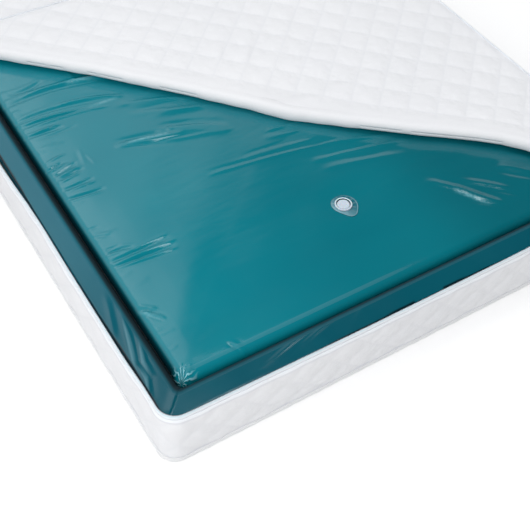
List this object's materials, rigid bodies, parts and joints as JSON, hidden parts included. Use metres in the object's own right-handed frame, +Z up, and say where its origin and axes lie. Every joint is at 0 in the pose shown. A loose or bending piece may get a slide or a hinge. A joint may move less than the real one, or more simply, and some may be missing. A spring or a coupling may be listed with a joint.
{
  "type": "waterbed mattress",
  "caption": "Softside waterbed mattress: quilted zip cover with one corner folded back, foam frame, teal safety liner, water mattress with filler valve.",
  "frame": {"origin": "on the floor, under the middle of the mattress", "axes": "+X across the bed to its right side seen from the foot, +Y from the foot to the head, +Z up"},
  "size_m": [1.4565, 2, 0.2273],
  "materials": {
    "quilted_cover": "white quilted knit fabric",
    "cover_trim": "smooth white woven tape and base cloth",
    "zip_nylon": "white nylon coil",
    "slider_metal": "bright plated metal",
    "foam": "pale open-cell foam",
    "heater_film": "dark sealed heating film",
    "lead_boss_rubber": "moulded black rubber",
    "liner_vinyl": "dark teal vinyl, satin",
    "bladder_vinyl": "glossy teal vinyl",
    "clear_vinyl": "clear vinyl over teal",
    "fleece": "white polyester fleece",
    "water": "water",
    "white_plastic": "white moulded plastic, satin gloss"
  },
  "bodies": {
    "mattress": {"cover_base_panel": "cover_trim", "cover_base_binding": "cover_trim", "cover_border_strip": "quilted_cover", "cover_border_head": "quilted_cover", "cover_top_panel": "quilted_cover", "zip_tape_lower": "cover_trim", "zip_tape_upper": "cover_trim", "zip_coil_lower": "zip_nylon", "zip_coil_upper": "zip_nylon", "foam_base": "foam", "foam_rail_left": "foam", "foam_rail_right": "foam", "foam_rail_foot": "foam", "foam_rail_head": "foam", "heater_mat": "heater_film", "heater_lead_boss": "lead_boss_rubber", "heater_sensor": "white_plastic", "safety_liner": "liner_vinyl", "bladder_bottom_sheet": "bladder_vinyl", "bladder_top_sheet": "bladder_vinyl", "fleece_layer_1": "fleece", "fleece_layer_2": "fleece", "fleece_layer_3": "fleece", "water_fill": "water", "valve_patch": "clear_vinyl", "valve_neck": "white_plastic"},
    "folded_corner": {"corner_flap": "quilted_cover", "zip_tape_flap": "cover_trim", "zip_coil_flap": "zip_nylon"},
    "left_slider": {"zip_slider_left": "slider_metal"},
    "left_pull": {"zip_pull_left": "slider_metal"},
    "right_slider": {"zip_slider_right": "slider_metal"},
    "right_pull": {"zip_pull_right": "slider_metal"},
    "cap": {"valve_cap": "white_plastic"},
    "plug": {"valve_plug": "white_plastic"}
  },
  "joints": [
    {"name": "corner_fold", "type": "hinge", "parent": "mattress", "child": "folded_corner", "pos_m": [0, -0.244, 0.20865], "axis": [-0.7071, 0.7071, 0], "range_deg": [-180, 0]},
    {"name": "left_slider_travel", "type": "slide", "parent": "mattress", "child": "left_slider", "axis": [0, 1, 0], "range_m": [-1.41, 0.46]},
    {"name": "left_pull_swing", "type": "hinge", "parent": "left_slider", "child": "left_pull", "pos_m": [-0.702, 0.476, 0.18985], "axis": [0, 1, 0], "range_deg": [0, 160]},
    {"name": "right_slider_travel", "type": "slide", "parent": "mattress", "child": "right_slider", "axis": [0, 1, 0], "range_m": [0, 1.86]},
    {"name": "right_pull_swing", "type": "hinge", "parent": "right_slider", "child": "right_pull", "pos_m": [0.702, -0.924, 0.18985], "axis": [0, -1, 0], "range_deg": [0, 90]},
    {"name": "cap_lift", "type": "slide", "parent": "mattress", "child": "cap", "axis": [0, 0, 1], "range_m": [0, 0.05]},
    {"name": "plug_lift", "type": "slide", "parent": "mattress", "child": "plug", "axis": [0, 0, 1], "range_m": [0, 0.025]}
  ],
  "couplings": [
    {"joint": "plug_lift", "follows": "cap_lift", "ratio": 0.5}
  ]
}
